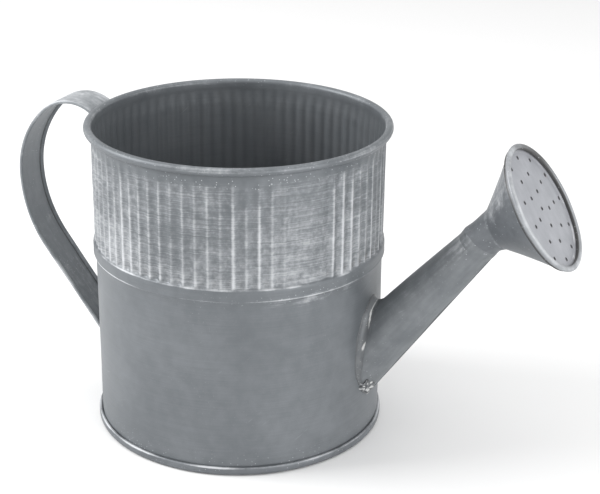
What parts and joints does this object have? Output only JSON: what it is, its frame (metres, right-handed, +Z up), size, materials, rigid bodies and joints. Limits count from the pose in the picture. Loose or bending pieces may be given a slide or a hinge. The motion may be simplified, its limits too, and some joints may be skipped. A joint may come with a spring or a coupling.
{
  "type": "watering can",
  "caption": "Small round sheet-metal watering can with a ribbed upper band, rolled rim, strap handle, tapered spout and flared perforated rose.",
  "frame": {"origin": "centre of the round base, on the ground", "axes": "+Z up along the can's axis, +X the way the spout points, so the handle is at -X"},
  "size_m": [0.3096, 0.16, 0.1704],
  "materials": {
    "washed_zinc": "matt grey zinc paint with white dry-brushed over the ribs and edges",
    "grey_zinc": "matt blue-grey zinc paint with fine scratches and small pale chips",
    "rose_zinc": "pale grey satin zinc, slightly brushed",
    "solder": "uneven soft solder under the grey paint",
    "steel_wire": "plain steel wire"
  },
  "bodies": {
    "root": {"body_wall": "washed_zinc", "rim_wire": "steel_wire", "base_plate": "grey_zinc", "base_seam": "grey_zinc", "body_seam_solder": "solder", "spout_tube": "grey_zinc", "spout_seam": "grey_zinc", "spout_root_solder": "solder", "solder_lump": "solder", "neck_solder": "solder", "rose_cone": "grey_zinc", "rose_rim": "rose_zinc", "rose_rim_wire": "steel_wire", "rose_face": "rose_zinc", "rose_face_solder": "solder", "handle_strap": "grey_zinc", "handle_top_solder": "solder", "handle_foot_solder": "solder"}
  },
  "joints": []
}
